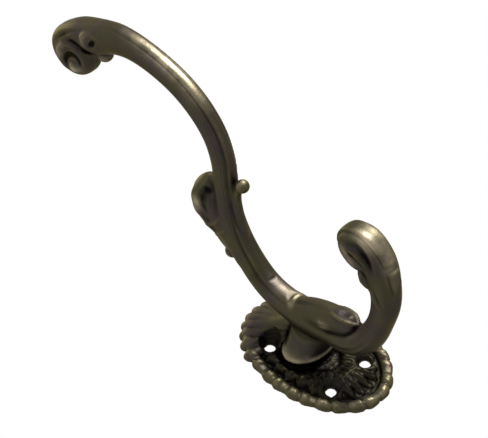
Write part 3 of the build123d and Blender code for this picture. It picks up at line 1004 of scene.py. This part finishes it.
def power_setting(name, description, default):
    """A lamp's power in watts, which a user may change."""
    return FloatProperty(
        name=name, description=description, default=default, min=0.0, unit="POWER"
    )


def colour_setting(name, description, code):
    """A colour that a user may change, from its sRGB hex value."""
    return FloatVectorProperty(
        name=name, description=description, subtype="COLOR", size=4, default=linear(code)
    )


class CastingSettings(bpy.types.PropertyGroup):
    """The sizes and colours of the casting that a user may change."""

    pitch: length_setting(
        "Sculpting pitch", "Distance between the sculpted points", 0.5, 0.3, 1.5
    )
    lobe_count: IntProperty(
        name="Rim lobes",
        description="Number of round lobes about the plate, beside those of the crest",
        default=22,
        min=8,
        max=40,
    )
    foliage_height: length_setting(
        "Foliage height", "How far the leaves on the plate stand over its field", 1.9, 0.0, 2.5
    )
    screw_hole_radius: length_setting(
        "Screw hole radius", "Radius of the four screw holes", 2.0, 1.5, 3.0
    )
    patina: colour_setting("Patina", "Colour of the dark olive patina", "#434030")
    brown: colour_setting("Brown patina", "Colour of the patina's browner patches", "#3f3937")
    # Painted shade: the near-black laid into recesses, under the tongue and the bar and on the
    # upper arm's shaded side
    recess_shade: colour_setting("Recesses", "Colour of the blackened recesses", "#0d0c0b")
    edge: colour_setting("Edges", "Colour of the thinned patina on edges", "#5f5838")
    # Also the colour of the painted highlights on the strip, the facet, the scroll eye and the
    # lower scroll
    bare_and_highlight: colour_setting("Bare brass", "Colour of the brass where hands have rubbed it", "#b0a38a")
    grazing: colour_setting("Grazing tint", "Tint of what the brass mirrors at its rims", "#cfc8b4")


def add_node(tree, kind, settings=None, links=None):
    """Adds a node, sets its properties or unlinked sockets, and links its named inputs."""
    node = tree.nodes.new(kind)
    for key, value in (settings or {}).items():
        if isinstance(key, int) or key in node.inputs:
            node.inputs[key].default_value = value
        else:
            setattr(node, key, value)
    for key, source in (links or {}).items():
        tree.links.new(source, node.inputs[key])
    return node


def patinated_brass(settings):
    """Cast brass, patinated dark olive and brown."""
    # The patina is a thin dark skin with a low lustre. It is thinner and more olive on edges, and
    # rubbed through to warm brass where the hook is touched. Over it, painted shade blackens the
    # recesses, the places under the tongue and the bar and the shaded side of the upper arm, and
    # the bare brass colour also paints highlights where the light glints.
    material = bpy.data.materials.new("cast_brass_patinated")
    material.use_nodes = True
    tree = material.node_tree
    tree.nodes.clear()
    place = add_node(tree, "ShaderNodeTexCoord").outputs["Object"]
    worn, shade_and_patina, rubbed_and_highlit = (
        add_node(tree, "ShaderNodeAttribute", {"attribute_name": mask}).outputs["Fac"]
        for mask in MASKS
    )
    # A noise of scale 1 has lumps about 1 m across. The sand's own grain of 0.2 mm wouldn't show in
    # the render, so it is drawn about three times as coarse.
    blotches, grain, patches = (
        add_node(
            tree, "ShaderNodeTexNoise", {"Scale": 1 / (size * MM), "Detail": detail}, {0: place}
        ).outputs["Fac"]
        for size, detail in (BLOTCHES, SAND_GRAIN, PATCHES)
    )
    thinned = add_node(
        tree,
        "ShaderNodeMapRange",
        {"From Min": BLOTCH_RANGE[0], "From Max": BLOTCH_RANGE[1], "To Min": LEAST_THINNING},
        {"Value": blotches},
    ).outputs["Result"]
    product = {"operation": "MULTIPLY", "use_clamp": True}
    edge_share = add_node(tree, "ShaderNodeMath", product, {0: worn, 1: thinned}).outputs[0]
    # Share of rubbed brass and painted highlight, where the patina is thin
    rub_and_highlight_share = add_node(tree, "ShaderNodeMath", product, {0: rubbed_and_highlit, 1: thinned}).outputs[0]
    brown_share = add_node(
        tree,
        "ShaderNodeMapRange",
        {"From Min": PATCH_RANGE[0], "From Max": PATCH_RANGE[1]},
        {"Value": patches},
    ).outputs["Result"]
    colour = None
    # The last two layers paint highlights where the brass is rubbed or the light glints, then shade
    # in recesses and under parts
    layers = (
        (settings.brown, brown_share),
        (settings.edge, edge_share),
        (settings.bare_and_highlight, rub_and_highlight_share),
        (settings.recess_shade, shade_and_patina),
    )
    for tone, share in layers:
        under = {MIX_UNDER: colour} if colour else {}
        ground = {} if colour else {MIX_UNDER: settings.patina}
        colour = add_node(
            tree,
            "ShaderNodeMix",
            {"data_type": "RGBA", MIX_OVER: tone, **ground},
            {MIX_SHARE: share, **under},
        ).outputs[MIX_COLOUR]
    roughness = add_node(
        tree,
        "ShaderNodeMapRange",
        {"To Min": PATINA_ROUGHNESS, "To Max": RUBBED_ROUGHNESS},
        {"Value": rub_and_highlight_share},
    ).outputs["Result"]
    bump = add_node(
        tree,
        "ShaderNodeBump",
        {"Strength": SAND_STRENGTH, "Distance": SAND_RELIEF * MM},
        {"Height": grain},
    ).outputs["Normal"]
    brass = add_node(
        tree,
        "ShaderNodeBsdfPrincipled",
        {"Metallic": METALLIC, "Specular Tint": settings.grazing},
        {"Base Color": colour, "Roughness": roughness, "Normal": bump},
    ).outputs["BSDF"]
    add_node(tree, "ShaderNodeOutputMaterial", links={"Surface": brass})
    return material


class HOOK_OT_casting(bpy.types.Operator):
    """Sculpts the one-piece casting and gives it its patinated finish"""

    bl_idname = "coat_hook.casting"
    bl_label = "Casting"

    def execute(self, context):
        settings = context.scene.coat_hook_casting
        casting = Casting(in_mm(settings.pitch))
        work_plate(casting, settings)
        work_tongue(casting)
        work_limb(casting, UPPER_ARM, arm_relief, ARM_SQUARENESS)
        work_limb(casting, LOWER_HOOK, hook_relief, HOOK_SQUARENESS)
        for stations in (ROOT_LEAF, STRAND, BUD):
            work_limb(casting, stations)
        for stations in (LEAF_WEB, LEAF):
            work_limb(casting, stations, blend=LEAF_BLEND)
        work_scroll(casting, UPPER_SCROLL)
        work_scroll(casting, LOWER_SCROLL)
        for ball in (STEM_CURL, STRAND_BALL, KNOB):
            casting.add(*globe(*ball), BALL_BLEND)
        work_details(casting)
        mesh = mesh_from(casting, "casting", in_mm(settings.screw_hole_radius))
        if not mesh.polygons:
            raise RuntimeError("the sculpted block holds no surface")
        piece = bpy.data.objects.new("casting", mesh)
        context.scene.collection.objects.link(piece)
        mesh.materials.append(patinated_brass(settings))
        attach(piece, "root")
        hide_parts(NODE)
        return {"FINISHED"}


class StageSettings(bpy.types.PropertyGroup):
    """The light and the floor's place, which a user may change."""

    key_power: power_setting("Key light", "Power of the soft light over the hook", 8.0)
    fill_power: power_setting("Fill light", "Power of the soft light from behind it", 2.0)
    floor_drop: FloatProperty(
        name="Floor drop",
        description="How far the floor lies below the hook",
        default=0.75,
        min=0.0,
        unit="LENGTH",
    )


def view_axes():
    """The camera's right, up and backward directions."""
    elevation, turn = math.radians(CAMERA_ELEVATION), math.radians(CAMERA_TURN)
    right = Vector((math.sin(turn), 0, -math.cos(turn)))
    level = Vector((math.cos(turn), 0, math.sin(turn)))
    back = -math.cos(elevation) * level + math.sin(elevation) * Vector((0, -1, 0))
    return right, back.cross(right), back


def set_camera(scene):
    """Places the camera where the photograph was taken from."""
    right, up, back = view_axes()
    centre = -(right * CAMERA_SHIFT[0] + up * CAMERA_SHIFT[1] - back * CAMERA_DISTANCE) * MM
    data = bpy.data.cameras.new("camera")
    data.sensor_width = SENSOR_WIDTH
    data.lens = SENSOR_WIDTH * CAMERA_DISTANCE * PIXELS_PER_MM / PHOTO_WIDTH
    data.clip_end = FARTHEST_SEEN
    camera = bpy.data.objects.new("camera", data)
    scene.collection.objects.link(camera)
    turned = Matrix((right, up, back)).transposed().to_4x4()
    camera.matrix_world = Matrix.Translation(centre) @ turned
    scene.camera = camera


def white_surroundings(scene):
    """A soft even light that looks plain white to the camera and in mirrored views."""
    world = bpy.data.worlds.new("white_surroundings")
    scene.world = world
    world.use_nodes = True
    tree = world.node_tree
    tree.nodes.clear()
    path = add_node(tree, "ShaderNodeLightPath").outputs
    either = {"operation": "MAXIMUM"}
    rays = {0: path["Is Camera Ray"], 1: path["Is Glossy Ray"]}
    seen = add_node(tree, "ShaderNodeMath", either, rays).outputs[0]
    rays = {0: seen, 1: path["Is Transmission Ray"]}
    clear = add_node(tree, "ShaderNodeMath", either, rays).outputs[0]
    soft, white = (
        add_node(
            tree, "ShaderNodeBackground", {"Color": linear("#ffffff"), "Strength": strength}
        ).outputs[0]
        for strength in (SOFT_STRENGTH, WHITE_STRENGTH)
    )
    mixed = add_node(tree, "ShaderNodeMixShader", links={"Fac": clear, 1: soft, 2: white})
    add_node(tree, "ShaderNodeOutputWorld", links={"Surface": mixed.outputs[0]})


def hang_lamps(scene, settings):
    """The key light above the hook, to the camera's right, and a weaker fill from behind it."""
    low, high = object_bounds()
    middle = (low + high) / 2
    lamps = (("key", KEY_LAMP, settings.key_power), ("fill", FILL_LAMP, settings.fill_power))
    for name, (offsets, size), power in lamps:
        way = sum((axis * offset for axis, offset in zip(view_axes(), offsets)), Vector())
        lamp = bpy.data.lights.new(name, "AREA")
        lamp.shape = "SQUARE"
        lamp.size = size
        lamp.energy = power
        holder = bpy.data.objects.new(name, lamp)
        scene.collection.objects.link(holder)
        aim = way.to_track_quat("Z", "Y").to_matrix().to_4x4()
        holder.matrix_world = Matrix.Translation(middle + way) @ aim


def pale_paper():
    """Smooth pale studio paper, which takes the hook's soft shadow."""
    material = bpy.data.materials.new("pale_paper")
    material.use_nodes = True
    shader = material.node_tree.nodes["Principled BSDF"]
    shader.inputs["Base Color"].default_value = linear("#f0f0ee")
    return material


def lay_floor(scene, drop):
    """A plain square floor below the hook."""
    mesh = bpy.data.meshes.new("floor")
    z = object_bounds()[0].z - drop
    half = FLOOR_HALF
    corners = [(-half, -half, z), (half, -half, z), (half, half, z), (-half, half, z)]
    mesh.from_pydata(corners, [], [(0, 1, 2, 3)])
    mesh.materials.append(pale_paper())
    floor = bpy.data.objects.new("floor", mesh)
    scene.collection.objects.link(floor)
    floor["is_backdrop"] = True


class HOOK_OT_stage(bpy.types.Operator):
    """Sets up the floor, the soft studio light, the white surroundings and the camera"""

    bl_idname = "coat_hook.stage"
    bl_label = "Stage"

    def execute(self, context):
        scene = context.scene
        settings = scene.coat_hook_stage
        scene.view_settings.view_transform = "Standard"
        set_camera(scene)
        white_surroundings(scene)
        hang_lamps(scene, settings)
        lay_floor(scene, settings.floor_drop)
        return {"FINISHED"}


class HOOK_PT_panel(bpy.types.Panel):
    """The hook's operators and settings"""

    bl_idname = "HOOK_PT_panel"
    bl_label = "Coat hook"
    bl_space_type = "VIEW_3D"
    bl_region_type = "UI"
    bl_category = "Coat hook"

    def draw(self, context):
        groups = (
            (HOOK_OT_casting, context.scene.coat_hook_casting),
            (HOOK_OT_stage, context.scene.coat_hook_stage),
        )
        for operator, settings in groups:
            column = self.layout.column()
            column.operator(operator.bl_idname)
            for name in type(settings).__annotations__:
                column.prop(settings, name)


CLASSES = (CastingSettings, StageSettings, HOOK_OT_casting, HOOK_OT_stage, HOOK_PT_panel)


def register():
    for each in CLASSES:
        bpy.utils.register_class(each)
    bpy.types.Scene.coat_hook_casting = PointerProperty(type=CastingSettings)
    bpy.types.Scene.coat_hook_stage = PointerProperty(type=StageSettings)


def unregister():
    del bpy.types.Scene.coat_hook_stage
    del bpy.types.Scene.coat_hook_casting
    for each in reversed(CLASSES):
        bpy.utils.unregister_class(each)


def main():
    register()
    bpy.ops.coat_hook.casting()
    bpy.ops.coat_hook.stage()


if __name__ == "__main__":
    main()
